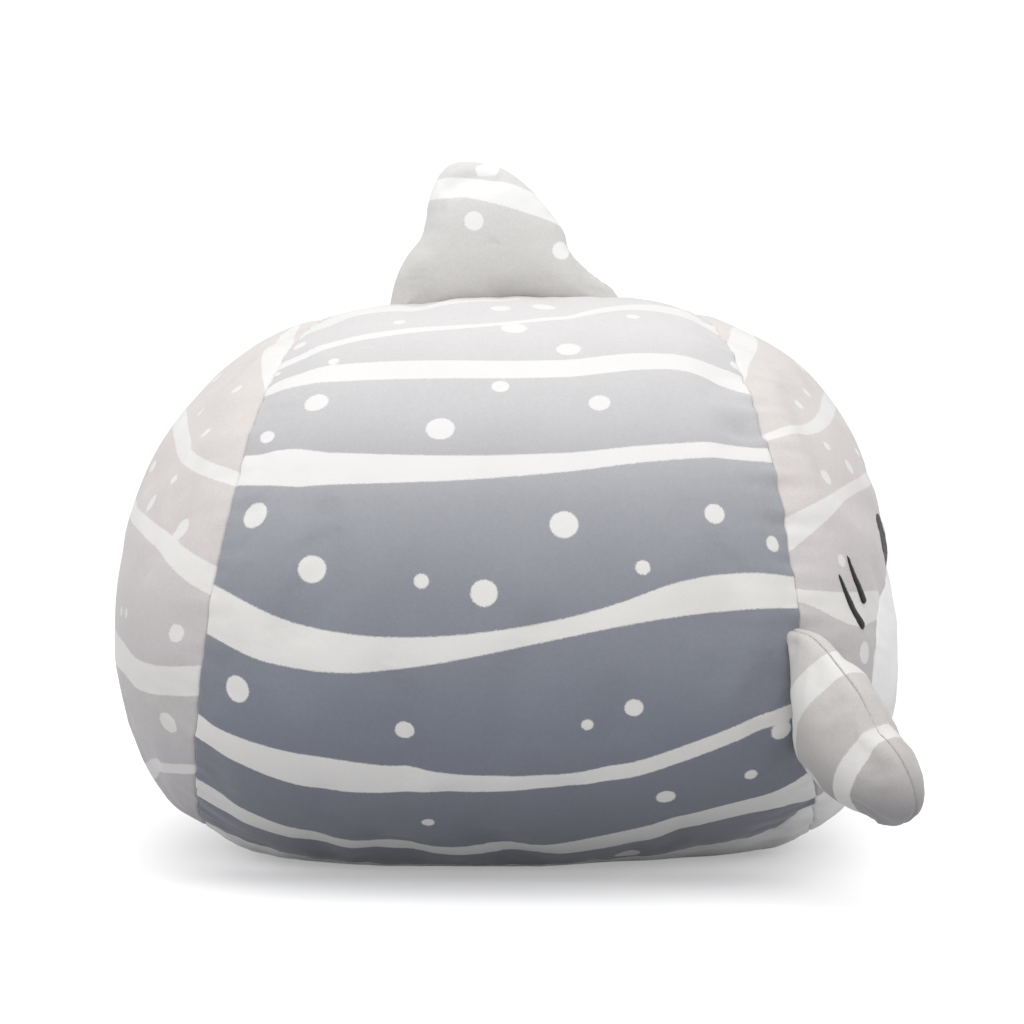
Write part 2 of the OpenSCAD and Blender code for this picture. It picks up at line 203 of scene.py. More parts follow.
def nearest(points, line):
    """Distance from each point to a line of close samples, and where along it that is, in samples."""
    flat = points.reshape(-1, 3).astype(np.float32)
    line = line.astype(np.float32)
    tangent = np.gradient(line, axis=0)
    tangent /= np.maximum(np.linalg.norm(tangent, axis=1, keepdims=True), 1e-6)
    away = np.empty(len(flat))
    place = np.empty(len(flat))
    for i in range(0, len(flat), 4000):
        part = flat[i:i + 4000]
        k = ((part[:, None, :] - line[None]) ** 2).sum(-1).argmin(1)
        gap = part - line[k]
        along = np.clip((gap * tangent[k]).sum(-1), -0.7, 0.7)
        away[i:i + 4000] = np.linalg.norm(gap - along[:, None] * tangent[k], axis=-1)
        place[i:i + 4000] = k + along
    return away.reshape(points.shape[:-1]), place.reshape(points.shape[:-1])


def ripple(t, seed):
    """A smooth uneven wave of about one unit height."""
    slow, middle, quick = 0.21 * t + seed, 0.47 * t + 2.3 * seed, 0.83 * t + 4.1 * seed
    return (np.sin(slow) + 0.7 * np.sin(middle) + 0.5 * np.sin(quick)) / 1.4


# At a seam the cloth rolls over an edge, dips in a groove and puckers, all in mm.
ROLL_R = 1.0
GROOVE, GROOVE_REACH = 0.7, 7.0
PUCKER = {"front": 0.85, "rear": 0.4, "top": 0.3, "belly_right": 0.4, "belly_left": 0.4, "muzzle": 0.3}
PUCKER_REACH = 9.0
# Dents and bulges on the body: girth angle, place along the body in mm, radius, height.
DENTS = [
    (138, 86, 7, -2.6), (129, 80, 8, -1.2), (158, 97, 8, -1.6), (147, 95, 5, 0.9), (176, 98, 8, -1.0),
    (186, -101, 16, -1.2), (206, 108, 12, -2.2), (219, 104, 11, 1.5),
]


def relief(points):
    """Height of the real fabric over the smooth form, in millimetres."""
    closest = np.full(points.shape[:-1], 1e3)
    height = 0.5 * np.sin(points[..., 0] / 17 + 1) * np.sin(points[..., 1] / 21 + points[..., 2] / 26)
    for seed, (name, line) in enumerate(SEAMS.items()):
        away, place = nearest(points, line)
        closest = np.minimum(closest, away)
        height += PUCKER[name] * ripple(place, seed + 1) * np.exp(-away / PUCKER_REACH)
    for u, x, radius, size in DENTS:
        for centre in (body_point(u, x / HALF_L), body_point(180 - u, x / HALF_L)):
            away = np.linalg.norm(points - centre, axis=-1)
            height += size * np.exp(-(away / radius) ** 2)
    inside = np.clip(ROLL_R - closest, 0, ROLL_R)
    height -= GROOVE * np.exp(-closest / GROOVE_REACH)
    height -= ROLL_R - np.sqrt(np.maximum(ROLL_R ** 2 - inside ** 2, 0))
    lift_off = smooth_step(points[..., 2] / 12)
    return height * mix(0.25, 1, lift_off)


def grid_normals(grid, wrap):
    """Unit normals of a grid of points; wrap joins its last column to its first."""
    padded = np.concatenate([grid[:, -1:], grid, grid[:, :1]], 1) if wrap else grid
    du = np.gradient(padded, axis=0)
    dv = np.gradient(padded, axis=1)
    if wrap:
        du, dv = du[:, 1:-1], dv[:, 1:-1]
    normal = np.cross(du, dv)
    return normal / np.maximum(np.linalg.norm(normal, axis=-1, keepdims=True), 1e-9)


# ---------- meshes ----------
def new_mesh(name, points, faces, attributes=None):
    """A smooth-shaded object from points in millimetres."""
    mesh = bpy.data.meshes.new(name)
    mesh.from_pydata((np.asarray(points) * MM).tolist(), [], faces)
    mesh.polygons.foreach_set("use_smooth", [True] * len(mesh.polygons))
    for key, values in (attributes or {}).items():
        layer = mesh.attributes.new(key, "FLOAT", "POINT")
        layer.data.foreach_set("value", np.asarray(values, np.float32).ravel())
    mesh.update()
    obj = bpy.data.objects.new(name, mesh)
    bpy.context.scene.collection.objects.link(obj)
    return obj


def grid_faces(rows, columns, wrap=False, flip=False):
    i, j = np.meshgrid(np.arange(rows - 1), np.arange(columns if wrap else columns - 1), indexing="ij")
    a = i * columns + j
    b = i * columns + (j + 1) % columns
    quads = np.stack([a, b, b + columns, a + columns], -1).reshape(-1, 4)
    return quads[:, ::-1].tolist() if flip else quads.tolist()


def fan(columns, centre):
    """Triangles from a ring of points to one point that closes it."""
    return [(j, (j + 1) % columns, centre) for j in range(columns)]


def closed_faces(rows, columns):
    """Faces of rings joined in a row, with one more point at each end to close them."""
    first, last = rows * columns, (rows - 1) * columns
    faces = grid_faces(rows, columns, wrap=True)
    faces += [(j, first, (j + 1) % columns) for j in range(columns)]
    faces += [(last + (j + 1) % columns, first + 1, last + j) for j in range(columns)]
    return faces


def place(obj, body, material, slot, *nodes):
    """Gives a piece its material and its body, and hides the CAD nodes that it stands for."""
    obj.data.materials.append(material)
    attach(obj, body)
    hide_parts(*nodes)
    return obj


def edged(count, size):
    """Shares from 0 to 1, crowded at both ends so that a rolled seam edge is round; size is in mm."""
    near = np.array([0, 0.12, 0.4, 0.9, 1.6]) / size
    middle = np.linspace(near[-1], 1 - near[-1], count)
    return np.concatenate([near[:-1], middle, 1 - near[-2::-1]])


# ---------- cloth ----------
CLOTH_FRAMES = 20


def coordinates(mesh):
    """A mesh's points in millimetres."""
    flat = np.empty(len(mesh.vertices) * 3)
    mesh.vertices.foreach_get("co", flat)
    return flat.reshape(-1, 3) / MM


def tree_of(points):
    tree = KDTree(len(points))
    for index, point in enumerate(points):
        tree.insert(point, index)
    tree.balance()
    return tree


def billow(name, points, faces, voxel, hold, cap, grow):
    """Blows a stuffed form up as cloth: gives its points at the start, and how far each one then moves.

    hold gives the share by which a seam holds each point; grow is how much spare fabric there is to wrinkle.
    """
    trial = new_mesh(name, points, faces)
    bpy.context.view_layer.objects.active = trial
    trial.data.remesh_voxel_size = voxel * MM
    bpy.ops.object.voxel_remesh()
    start = coordinates(trial.data)
    held = trial.vertex_groups.new(name="held")
    for index, weight in enumerate(hold(start)):
        held.add([index], float(weight), "REPLACE")
    cloth = trial.modifiers.new("cloth", "CLOTH")
    cloth.point_cache.frame_start = 1
    cloth.point_cache.frame_end = CLOTH_FRAMES
    cloth.collision_settings.use_collision = False
    settings = cloth.settings
    settings.quality = 6
    settings.use_pressure = True
    settings.uniform_pressure_force = 4
    settings.effector_weights.gravity = 0
    settings.vertex_group_mass = held.name
    settings.shrink_min = -grow
    settings.tension_stiffness = 40
    settings.compression_stiffness = 40
    settings.bending_stiffness = 1.5
    for step in range(1, CLOTH_FRAMES + 1):
        bpy.context.scene.frame_set(step)
    settled = trial.evaluated_get(bpy.context.evaluated_depsgraph_get())
    moved = coordinates(settled.data) - start
    bpy.context.scene.frame_set(1)
    bpy.data.objects.remove(trial)
    length = np.maximum(np.linalg.norm(moved, axis=1, keepdims=True), 1e-6)
    return start, moved * np.tanh(length / cap) * cap / length


def carried(points, cloth, spread):
    """How far the fabric settles at other points, from the nearest points of the cloth."""
    if cloth is None:
        return np.zeros_like(points)
    start, moved, tree = cloth
    flat = points.reshape(-1, 3)
    index = np.empty((len(flat), 6), int)
    away = np.empty((len(flat), 6))
    for row, point in enumerate(flat):
        found = tree.find_n(point, 6)
        index[row] = [hit[1] for hit in found]
        away[row] = [hit[2] for hit in found]
    weight = np.exp(-(away / spread) ** 2) + 1e-9
    weight /= weight.sum(1, keepdims=True)
    return (moved[index] * weight[..., None]).sum(1).reshape(points.shape)


def body_cloth():
    """The whole body as one stuffed form, held at its seams, less the part that is an even swelling."""
    turn = np.arange(0, 360, 3.0)
    rings = [body_point(turn, signed_pow(sin_d(a), 0.72), 1.0) for a in np.arange(-84, 85, 4.0)]
    ends = [body_point(0, -1, 1.0), body_point(0, 1, 1.0)]
    points = np.concatenate([*rings, ends])
    faces = closed_faces(len(rings), len(turn))
    seams = np.concatenate(list(SEAMS.values()))

    def hold(at):
        away, _ = nearest(at, seams[::3])
        return np.maximum(np.exp(-(away / 4) ** 2), at[:, 2] < 3)

    start, moved = billow("body_cloth", points, faces, 5.0, hold, 6.0, 0.025)
    tree = tree_of(start)
    even = np.array([moved[[hit[1] for hit in tree.find_n(point, 120)]].mean(0) for point in start])
    return start, moved - even, tree


# ---------- printed pattern ----------
def smooth_rows(rows):
    """A Catmull-Rom line through rows of values, sampled finely."""
    p = np.asarray(rows, float)
    p = np.concatenate([[2 * p[0] - p[1]], p, [2 * p[-1] - p[-2]]])
    out = []
    for a, b, c, d in zip(p[:-3], p[1:-2], p[2:-1], p[3:]):
        t = np.linspace(0, 1, 24, endpoint=False)[:, None]
        out.append(0.5 * (2 * b + (c - a) * t + (2 * a - 5 * b + 4 * c - d) * t ** 2
                          + (3 * b - a - 3 * c + d) * t ** 3))
    return np.concatenate(out + [p[-2:-1]])


def ink(points, stripes, dots, to_surface):
    """Signed distance in mm to the edge of the white print, positive inside a stripe or dot."""
    best = np.full(points.shape[:-1], -50.0, np.float32)
    flat = points.reshape(-1, 3).astype(np.float32)
    out = best.ravel()
    lines = []
    for stripe in stripes:
        fine = smooth_rows(stripe)
        lines.append(resample(np.concatenate([to_surface(fine[:, 0], fine[:, 1]), fine[:, 2:]], 1), 1.0))
    for a, b, size in dots:
        lines.append(np.concatenate([np.ravel(to_surface(a, b)), [size]])[None])
    for line in lines:
        centre = line[:, :3].astype(np.float32)
        half = (line[:, 3] / 2).astype(np.float32)
        low = centre.min(0) - half.max() - 6
        high = centre.max(0) + half.max() + 6
        close = np.where(np.all((flat > low) & (flat < high), 1))[0]
        for i in range(0, len(close), 4000):
            part = close[i:i + 4000]
            away = np.linalg.norm(flat[part][:, None] - centre[None], axis=-1)
            out[part] = np.maximum(out[part], (half[None] - away).max(1))
    return out.reshape(points.shape[:-1])


# Side panel print: stripes as (place along the body, girth angle, width), dots as (place, angle, size).
SIDE_STRIPES = [
    [(-90, 103, 19), (-62, 101, 18), (-40, 100.5, 16), (-18, 100.5, 8), (4, 99, 3)],
    [(-95, 118, 7), (-60, 116.7, 5.4), (-20, 114.7, 4), (2, 112.6, 2.8), (22, 110, 4.5),
     (45, 106.5, 8), (62, 104.3, 13), (80, 105.6, 11), (95, 107, 12)],
    [(-100, 128, 0.5), (-90, 127.4, 2), (-80, 126.4, 9.5), (-60, 126.6, 11.3), (0, 128, 11.5),
     (35, 127.1, 11.2), (60, 125.7, 10), (78, 125.6, 10), (95, 127, 14)],
    [(-110, 144.5, 9), (-98, 145.4, 12), (-80, 146.9, 16), (-60, 148.2, 14), (-25, 148.7, 11),
     (10, 148, 8.5), (40, 146.7, 7.2), (75, 144.3, 6.8), (105, 142, 6.4)],
    [(-118, 168, 17), (-105, 171.2, 17), (-80, 177, 16), (-55, 179, 13.5), (-30, 178.7, 10),
     (-5, 177.2, 7.4), (20, 175, 6.5), (40, 172.8, 8), (60, 170.4, 11.6), (80, 169, 12.8),
     (110, 168.6, 10.5)],
    [(-120, 196, 9.5), (-100, 200.9, 10.5), (-80, 204.8, 14.3), (-62, 206.6, 16),
     (-40, 207.5, 12.7), (-15, 207.7, 8.7), (15, 207.2, 6.5), (40, 205.4, 6.8), (60, 201.7, 6.6),
     (85, 195.7, 6.2), (115, 189.5, 5.6)],
    [(-120, 219, 14), (-100, 222.6, 12), (-80, 226.6, 10), (-60, 229, 8.5), (-30, 230.3, 8),
     (0, 230.4, 9), (25, 229.3, 12), (50, 226.4, 14), (80, 220.6, 12.5), (100, 218, 15),
     (118, 217, 22)],
]
SIDE_DOTS = [
    (-67.5, 133.7, 9.2), (-85.5, 139.2, 5.7), (-95.5, 134.8, 4.3), (-23, 141.1, 10.2),
    (-62, 123, 4.3), (-76, 112.4, 5.5), (-84, 120.9, 3), (-39, 111.7, 4.8), (-10, 96, 5),
    (20, 94.5, 5), (-2, 106, 7.5), (14, 104.4, 9), (-2, 132.3, 6.4), (3, 114.8, 9.4),
    (22.5, 122.2, 9), (33, 136.2, 7.8), (46.5, 111.3, 5.2), (84, 120.3, 5), (-88, 155.4, 9.8),
    (-67, 165.3, 9.8), (-29, 167.6, 5.3), (20, 158.4, 10), (-7.5, 169.5, 9.4), (47, 165.4, 5.2),
    (72.5, 156.2, 7.5), (94.5, 160.2, 6), (-93, 187.3, 9.6), (-35, 195.8, 6.8), (28, 193.9, 4.3),
    (44, 190.3, 6.5), (95, 197.4, 7.3), (85.5, 208.1, 4.7), (56, 212.9, 7), (-27.5, 219.5, 4.6),
    (44, 238, 9.5),
]
# End prints: stripes as (distance from the middle, height, width), dots as (distance, height, size).
REAR_STRIPES = [
    [(4, 200, 3), (20, 197.5, 7), (40, 193.5, 11), (62, 187, 11), (78, 180, 6), (90, 173, 2)],
    [(0, 168, 8), (30, 166, 8), (50, 162.5, 7.5), (70, 158, 8), (86, 153.3, 6), (100, 150, 5.6),
     (114, 147, 6)],
    [(0, 135, 7), (35, 134, 6), (62, 131.5, 5.5), (90, 128.3, 5.8), (110, 122.5, 7.5),
     (127, 114, 9.5), (136, 109, 10)],
    [(0, 90, 12), (30, 88, 13), (58, 84.7, 13), (88, 81.7, 11.5), (104, 76.7, 11.5),
     (120, 75.6, 11), (136, 77, 11.5)],
    [(0, 31, 6), (40, 34, 6.5), (75, 40, 5.5), (92, 42, 4.8), (110, 42, 4.5)],
]
REAR_DOTS = [
    (69, 177, 5), (55, 169.5, 4.5), (82, 162, 5), (90, 145, 4), (82, 136.5, 6.5), (111, 129, 8.2),
    (86, 97.5, 3.8), (94, 97.5, 3.8), (125, 93, 6.8), (112, 60, 8.2), (30, 180, 6), (22, 150, 8),
    (48, 148, 5), (20, 112, 7), (52, 108, 9), (30, 62, 8), (68, 58, 6), (14, 48, 5), (60, 24, 6),
]
FACE_STRIPES = [
    [(6, 198, 3), (22, 197, 9), (45, 193, 11), (64, 188, 9), (80, 181, 5)],
    [(0, 173, 8), (40, 170, 7), (64, 166.3, 6), (80, 163.6, 5), (93, 162.3, 3.8),
     (108, 160.5, 4.4)],
    [(0, 144, 5), (35, 144, 4.6), (60, 143, 4.8), (82, 141.8, 4.6), (100, 138.4, 5.2),
     (116, 132.5, 8.6), (127, 127, 12), (136, 121, 15)],
    [(92, 101, 9), (102, 100.6, 11), (112, 100.4, 12.3), (120, 101.8, 10.5), (128, 105.4, 6),
     (134, 108, 4), (140, 110, 4)],
]
FACE_DOTS = [
    (54, 184.5, 4), (51, 176, 4.6), (71, 172, 4.6), (81, 157, 3.8), (74, 149, 6), (96, 146.5, 6.4),
    (113, 117.5, 4.4), (112, 85, 8), (20, 184, 6), (28, 158, 8), (44, 153, 4), (25, 130, 6),
    (6, 122, 4),
]


def side_surface(x, u):
    return body_point(u, np.asarray(x) / HALF_L)


def end_surface(end):
    return lambda y, z: on_end(disc_at(-np.asarray(y), z), end)


def mirror_y(points):
    return points * np.array([1, -1, 1])


# ---------- materials ----------
class Nodes:
    """A short way to write a material's node tree."""

    def __init__(self, name):
        self.material = bpy.data.materials.new(name)
        self.material.use_nodes = True
        self.tree = self.material.node_tree
        self.shader = self.tree.nodes["Principled BSDF"]

    def add(self, kind, settings=None, **inputs):
        node = self.tree.nodes.new(kind)
        for key, value in (settings or {}).items():
            setattr(node, key, value)
        for key, value in inputs.items():
            socket = int(key[1:]) if key[0] == "_" else key.replace("_", " ")
            self.feed(node.inputs[socket], value)
        return node

    def feed(self, socket, value):
        if isinstance(value, bpy.types.NodeSocket):
            self.tree.links.new(value, socket)
        else:
            socket.default_value = value

    def math(self, operation, *values):
        node = self.add("ShaderNodeMath", {"operation": operation})
        for socket, value in zip(node.inputs, values):
            self.feed(socket, value)
        return node.outputs[0]

    def noise(self, size_mm, detail):
        node = self.add("ShaderNodeTexNoise", Scale=1000.0 / size_mm, Detail=detail)
        self.feed(node.inputs["Vector"], self.add("ShaderNodeTexCoord").outputs["Object"])
        return node.outputs["Fac"]

    def attribute(self, name):
        return self.add("ShaderNodeAttribute", {"attribute_name": name}).outputs["Fac"]

    def range(self, value, low, high, to_low=0.0, to_high=1.0, smooth=False):
        node = self.add("ShaderNodeMapRange", {"interpolation_type": "SMOOTHSTEP" if smooth else "LINEAR"})
        for socket, number in zip(node.inputs, (value, low, high, to_low, to_high)):
            self.feed(socket, number)
        return node.outputs[0]

    def blend(self, share, a, b, mode="MIX"):
        node = self.add("ShaderNodeMix", {"data_type": "RGBA", "blend_type": mode})
        self.feed(node.inputs[0], share)
        self.feed(node.inputs[6], a)
        self.feed(node.inputs[7], b)
        return node.outputs[2]

    def shaded(self, colour, shade):
        """The colour times a grey value."""
        grey = self.add("ShaderNodeCombineColor", Red=shade, Green=shade, Blue=shade).outputs[0]
        return self.blend(1.0, colour, grey, "MULTIPLY")

    def ramp(self, value, stops):
        node = self.add("ShaderNodeValToRGB")
        self.feed(node.inputs[0], value)
        items = node.color_ramp.elements
        while len(items) < len(stops):
            items.new(0.5)
        for item, (place_at, colour) in zip(items, stops):
            item.position = place_at
            item.color = rgb(colour)
        return node.outputs[0]


def rgb(colour):
    """A linear colour from sRGB values of 0 to 255."""
    v = np.array(colour, float) / 255
    linear = np.where(v <= 0.04045, v / 12.92, ((v + 0.055) / 1.055) ** 2.4)
    return (*linear.tolist(), 1.0)


# The white print's colour by height: one white, darker towards the bottom by painted shade.
PRINT_WHITE_PAINTED_SHADE = [(0.0, (226, 225, 224)), (0.5, (229, 227, 224)), (0.85, (236, 235, 234))]


def plush(name, ombre_and_shade_stops, printed=True, white_shade_stops=PRINT_WHITE_PAINTED_SHADE, grain=0.08):
    """Short-pile plush: a colour by height, which is painted shade low down and painted light up high, on
    the side and end panels together with the print's own fade; a white print with fibrous edges and the same
    painted shade; fine fuzz.
    """
    n = Nodes(name)
    fibre = n.noise(0.45, 3)
    tuft = n.noise(2.2, 2)
    cloud = n.noise(26, 2)
    strands = n.range(fibre, 0.25, 0.75, 1 - grain, 1 + 0.8 * grain)
    fuzz = n.math("MULTIPLY", strands, n.range(tuft, 0.25, 0.75, 0.98, 1.02))
    # The colour by height is painted shade low down and painted light up high, with the print's own fade on
    # the side and end panels.
    colour = n.shaded(n.ramp(n.attribute("height_share"), ombre_and_shade_stops), fuzz)
    if printed:
        edge = n.math("ADD", n.attribute("ink"), n.range(fibre, 0.25, 0.75, -0.35, 0.35))
        # The white print is one white; its darkening towards the bottom is painted shade.
        white = n.shaded(n.ramp(n.attribute("height_share"), white_shade_stops), n.range(fibre, 0.25, 0.75, 0.97, 1.02))
        colour = n.blend(n.range(edge, -0.35, 0.35, smooth=True), colour, white)
    colour = n.shaded(colour, n.range(cloud, 0.3, 0.7, 0.985, 1.012))
    height = n.math("ADD", n.math("MULTIPLY", fibre, 0.7), n.math("MULTIPLY", tuft, 0.5))
    bump = n.add("ShaderNodeBump", Strength=0.25, Distance=0.0005, Height=height)
    n.feed(n.shader.inputs["Base Color"], colour)
    n.feed(n.shader.inputs["Normal"], bump.outputs[0])
    n.shader.inputs["Roughness"].default_value = 0.9
    n.shader.inputs["Specular IOR Level"].default_value = 0.15
    n.shader.inputs["Sheen Weight"].default_value = 0.35
    n.shader.inputs["Sheen Roughness"].default_value = 0.45
    return n.material


def thread_material(name, colour, roughness=0.45):
    """Embroidery or sewing thread: fine strands with a slight shine."""
    n = Nodes(name)
    strands = n.noise(0.35, 2)
    n.feed(n.shader.inputs["Base Color"], n.shaded(rgb(colour), n.range(strands, 0.3, 0.7, 0.7, 1.25)))
    bump = n.add("ShaderNodeBump", Strength=0.6, Distance=0.0003, Height=strands)
    n.feed(n.shader.inputs["Normal"], bump.outputs[0])
    n.shader.inputs["Roughness"].default_value = roughness
    n.shader.inputs["Sheen Weight"].default_value = 0.2
    return n.material


# Dark slate low down to light grey up high: partly the print's own fade, partly painted shade low down and
# painted light on the top.
SIDE_PLUSH = plush("side_plush", [
    (0.0, (115, 118, 130)), (0.30, (128, 132, 143)), (0.50, (140, 143, 152)), (0.66, (163, 165, 170)),
    (0.80, (198, 197, 199)), (0.95, (220, 218, 218)),
])
# The ends' grey, lighter towards the top: partly the print's own fade, partly painted light and shade by
# height.
END_PLUSH = plush("end_plush", [
    (0.0, (186, 184, 187)), (0.35, (196, 192, 193)), (0.7, (214, 208, 206)), (1.0, (226, 220, 217)),
])
# The fins' grey is one colour: its darkening towards the bottom, darkest at the low tips of the side fins,
# is painted shade, as is the white print's.
FIN_PLUSH = plush("fin_plush", [
    (0.0, (148, 147, 149)), (0.08, (151, 149, 151)), (0.16, (180, 176, 175)), (0.30, (204, 200, 197)),
    (0.75, (209, 207, 204)), (1.0, (222, 221, 219)),
], white_shade_stops=[(0.0, (218, 216, 214)), (0.4, (228, 227, 224)), (0.8, (244, 244, 243))])
# One white: its slight darkening towards the bottom is painted shade.
WHITE_PLUSH = plush("white_plush", [(0.0, (244, 243, 243)), (1.0, (251, 250, 249))],
                    printed=False, grain=0.03)
SEAM_THREAD = thread_material("seam_thread", (186, 187, 192), 0.8)
FIN_THREAD = thread_material("fin_thread", (165, 165, 166), 0.8)
BLACK_THREAD = thread_material("black_thread", (15, 15, 17))
WHITE_THREAD = thread_material("white_thread", (240, 240, 238))


# ---------- body panels ----------
BODY_CLOTH = body_cloth()
CLOTH_SHARE = 0.65
# How far uneven stuffing moves the form. The ends go out, as (height, push); the belly and the back go up,
# as (place along the body, push).
TAIL_PUSH = [
    (0, -5), (15, -5), (25, -3.6), (40, -2.4), (55, -1.2), (80, 0.5), (105, 0.8), (120, 0), (145, -1.6),
    (170, -1.8), (211, 0),
]
NOSE_PUSH = [
    (0, 0), (40, 0), (65, 1.2), (88, 0.6), (102, -0.6), (125, -2.2), (145, -1.9), (170, -0.8), (200, 0),
]
BELLY_PUSH = [(-144, 0), (10, 0), (50, 2.2), (75, 4.6), (95, 5), (108, 2.8), (120, 0), (144, 0)]
BACK_PUSH = [(-144, 0), (-80, -0.6), (20, 0), (48, 2), (62, 1.8), (90, 0.4), (144, 0)]


def eased(at, knots):
    """A smooth line through a few (place, value) knots."""
    places, values = np.array(knots, float).T
    k = np.clip(np.searchsorted(places, at) - 1, 0, len(places) - 2)
    t = smooth_step((at - places[k]) / (places[k + 1] - places[k]))
    return mix(values[k], values[k + 1], t)


def pushed(points):
    """The smooth form with the uneven stuffing of the real toy."""
    out = points.copy()
    x, y, z = np.moveaxis(points, -1, 0)
    end = smooth_step((np.abs(x) / HALF_L - 0.35) / 0.5)
    out[..., 0] += end * np.where(x < 0, -eased(z, TAIL_PUSH), eased(z, NOSE_PUSH))
    out[..., 2] += eased(x, BACK_PUSH) * smooth_step((z - 130) / 60)
    low_side = (1 - smooth_step(z / 45)) * smooth_step((np.abs(y) - 20) / 50)
    out[..., 2] += eased(x, BELLY_PUSH) * low_side
    return out


def surfaced(points, normal, lift=0.0):
    """Points of the real fabric over the smooth form."""
    billowed = (carried(points, BODY_CLOTH, 5.0) * normal).sum(-1)
    out = pushed(points) + normal * (relief(points) + CLOTH_SHARE * billowed + lift)[..., None]
    out[..., 2] = np.maximum(out[..., 2], 0.0)
    return out


def panel(name, grid, material, slot, stripes=(), dots=(), surface=None, wrap=False, hidden=()):
    """A panel of plush over a grid of smooth points, with its edges rolled into the seams.

    Its print is laid out on the right side and mirrored. A wrapped grid's first row is closed with a fan.
    """
    normal = grid_normals(grid, wrap)
    flip = bool(np.sum((grid - [0, 0, WAIST]) * normal) < 0)
    normal = -normal if flip else normal
    points = surfaced(grid, normal)
    right_side = grid.copy()
    right_side[..., 1] = -np.abs(grid[..., 1])
    plain = np.full(grid.shape[:-1], -9.0)
    marks = plain if surface is None else ink(right_side, stripes, dots, surface)
    rows, columns = grid.shape[:2]
    flat = points.reshape(-1, 3)
    # The share of the body's height at each point, which the plush colours turn into painted shade low down
    # and painted light up high.
    values = {"ink": marks.ravel(), "height_share": np.clip(flat[:, 2] / BODY_H, 0, 1)}
    faces = grid_faces(rows, columns, wrap, flip)
    if wrap:
        flat = np.concatenate([flat, [points[0].mean(0)]])
        values = {key: np.append(value, value[0]) for key, value in values.items()}
        faces += [face if flip else face[::-1] for face in fan(columns, len(flat) - 1)]
    obj = new_mesh(name + "_plush", flat, faces, values)
    place(obj, "body", material, slot, name, *hidden)
    return obj


SIDE_ROWS, SIDE_COLUMNS = 270, 160


def side_panels():
    along = edged(SIDE_COLUMNS, 205)[None]
    around = edged(SIDE_ROWS, 355)[:, None]
    right = along_body(mix(90.0, belly_edge(along), around), along)
    for name, grid in (("side_panel_right", right), ("side_panel_left", mirror_y(right))):
        panel(name, grid, SIDE_PLUSH, "side_plush", SIDE_STRIPES, SIDE_DOTS, side_surface)


def end_rings(edge, centre, steps, end):
    return on_end(mix(np.asarray(centre), edge[None], steps[:, None, None]), end)


def inner_shares(count):
    """Shares of the way from the middle of a panel out to its edge, crowded at the edge."""
    shares = 2 * edged(2 * count, 240) - 1
    return shares[shares > 0.25 / count]


def muzzle_edge():
    arc = arch(np.linspace(ARCH_LEFT, ARCH_RIGHT, 260))
    u = np.linspace(MUZZLE_CORNER + 0.3, 539.7 - MUZZLE_CORNER, 110)
    return np.concatenate([arc, disc(u, front_s(u))])


def end_panels():
    u = np.linspace(90, 450, 400, endpoint=False)
    rear = end_rings(disc(u, rear_s(u)), (0, 0), inner_shares(80), -1)
    panel("rear_panel", rear, END_PLUSH, "face_plush", REAR_STRIPES, REAR_DOTS, end_surface(-1),
          wrap=True)
    middle = disc_at(0, 62)
    muzzle = end_rings(muzzle_edge(), middle, inner_shares(60), 1)
    panel("muzzle_panel", muzzle, WHITE_PLUSH, "white_plush", wrap=True)
    v = np.linspace(0, 1, 420)
    u = mix(MUZZLE_CORNER - 0.5, 180.5 - MUZZLE_CORNER, v)
    seam = disc(u, front_s(u))
    edge = arch(mix(ARCH_RIGHT - 0.5, ARCH_LEFT + 0.5, v))
    face = on_end(mix(seam[None], edge[None], edged(64, 70)[:, None, None]), 1)
    panel("face_panel", face, END_PLUSH, "face_plush", FACE_STRIPES, FACE_DOTS, end_surface(1))


def belly_panel():
    along = edged(110, 228)[None]
    around = edged(90, 170)[:, None]
    grid = along_body(mix(belly_edge(along), 540 - belly_edge(along), around), along)
    panel("belly_panel", grid, WHITE_PLUSH, "white_plush", hidden=["body_stuffing"])


side_panels()
end_panels()
belly_panel()


# ---------- threads and embroidery ----------
def strand_rings(line, normal, half_w, half_h, sides):
    """Oval rings round a line: half_w and half_h are their half width and height at each of its points."""
    along = np.gradient(line, axis=0)
    along /= np.linalg.norm(along, axis=1, keepdims=True)
    side = np.cross(along, normal)
    side /= np.linalg.norm(side, axis=1, keepdims=True)
    up = np.cross(side, along)
    turn = np.radians(np.arange(sides) * 360 / sides)
    return (line[:, None] + side[:, None] * (np.cos(turn)[None] * half_w[:, None])[..., None]
            + up[:, None] * (np.sin(turn)[None] * half_h[:, None])[..., None])


def tube(name, line, normal, half_w, half_h, material, slot, node, sides=10):
    """A strand of thread on the body, closed at both ends."""
    rings = strand_rings(line, normal, half_w, half_h, sides)
    points = np.concatenate([rings.reshape(-1, 3), line[[0, -1]]])
    return place(new_mesh(name, points, closed_faces(len(line), sides)), "body", material, slot, node)


def outward(points):
    """Rough outward directions of the body at points on it."""
    q = disc_at(points[..., 1], points[..., 2])
    nose = np.sign(points[..., 0]) * np.abs(points[..., 0] / HALF_L) ** (ROUND_PLAN - 1) / HALF_L
    wide = signed_pow(q[..., 0], ROUND_PLAN - 1.6) / HALF_W
    high = signed_pow(q[..., 1], 1.0) / KEEL
    normal = np.stack([nose, wide, high], -1)
    return normal / np.linalg.norm(normal, axis=-1, keepdims=True)


STITCH, THREAD_STEP, THREAD_SIDES = 3.2, 0.8, 6
THREAD_R, THREAD_DEPTH = 0.5, 0.3
FIN_THREAD_R = 0.42


def stitch_wave(count):
    """From 0 between two stitches to 1 in the middle of one, at every step of a thread."""
    return np.abs(np.sin(np.pi * np.arange(count) * THREAD_STEP / STITCH))


